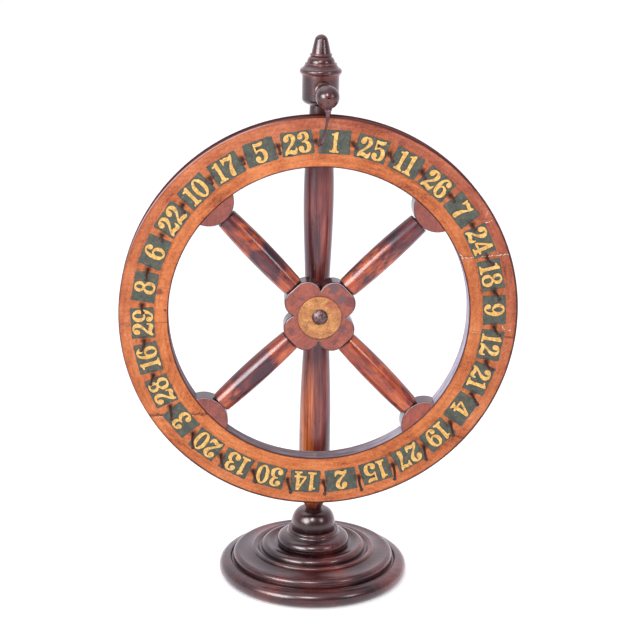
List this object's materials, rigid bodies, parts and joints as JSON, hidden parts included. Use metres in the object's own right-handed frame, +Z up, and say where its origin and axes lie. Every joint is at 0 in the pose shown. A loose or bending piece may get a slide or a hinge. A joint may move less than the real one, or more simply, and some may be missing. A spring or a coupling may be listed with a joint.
{
  "type": "table-top numbered gaming wheel",
  "caption": "Turned wooden stand carrying a spoked wheel with numbered cards and pegs, and a leather flapper that clicks on the pegs.",
  "frame": {"origin": "centre of the foot's underside, on the post's axis", "axes": "+Z up along the post, +X to the right seen from the front, the wheel faces -Y and turns about the Y direction"},
  "size_m": [0.43, 0.2136, 0.6118],
  "materials": {
    "dark_mahogany": "French polished, dark",
    "rim_mahogany": "worn wax polish, orange-brown",
    "spoke_mahogany": "polished, mottled red-brown",
    "hub_mahogany": "satin red-brown",
    "card": "matt grey-green painted card",
    "old_brass": "aged, dull",
    "iron": "dark brown oxide",
    "leather": "hard oxblood leather"
  },
  "bodies": {
    "stand": {"axle_bolt": "iron", "axle_nut": "iron", "collar": "dark_mahogany", "finial": "dark_mahogany", "flapper_tang": "leather", "foot": "dark_mahogany", "foot_screw": "iron", "knob": "dark_mahogany", "pedestal": "dark_mahogany", "post": "dark_mahogany", "rear_washer": "iron", "spacer": "old_brass"},
    "wheel": {"card_01": "card", "card_02": "card", "card_03": "card", "card_04": "card", "card_05": "card", "card_06": "card", "card_07": "card", "card_08": "card", "card_09": "card", "card_10": "card", "card_11": "card", "card_12": "card", "card_13": "card", "card_14": "card", "card_15": "card", "card_16": "card", "card_17": "card", "card_18": "card", "card_19": "card", "card_20": "card", "card_21": "card", "card_22": "card", "card_23": "card", "card_24": "card", "card_25": "card", "card_26": "card", "card_27": "card", "card_28": "card", "card_29": "card", "card_30": "card", "hub": "hub_mahogany", "hub_bush": "old_brass", "hub_disc": "old_brass", "pegs": "iron", "rim_left": "rim_mahogany", "rim_lower": "rim_mahogany", "rim_right": "rim_mahogany", "rim_upper": "rim_mahogany", "spoke_1": "spoke_mahogany", "spoke_2": "spoke_mahogany", "spoke_3": "spoke_mahogany", "spoke_4": "spoke_mahogany", "spoke_block_1": "hub_mahogany", "spoke_block_2": "hub_mahogany", "spoke_block_3": "hub_mahogany", "spoke_block_4": "hub_mahogany"},
    "flapper": {"flapper": "leather"}
  },
  "joints": [
    {"name": "wheel_spin", "type": "hinge", "parent": "stand", "child": "wheel", "pos_m": [0, -0.036, 0.3165], "axis": [0, -1, 0], "continuous": true},
    {"name": "flapper_flex", "type": "hinge", "parent": "stand", "child": "flapper", "pos_m": [0.00299, -0.06593, 0.54165], "axis": [0.0454, -0.999, 0], "range_deg": [-22, 46], "stiffness_Nm_per_rad": 0.04}
  ]
}
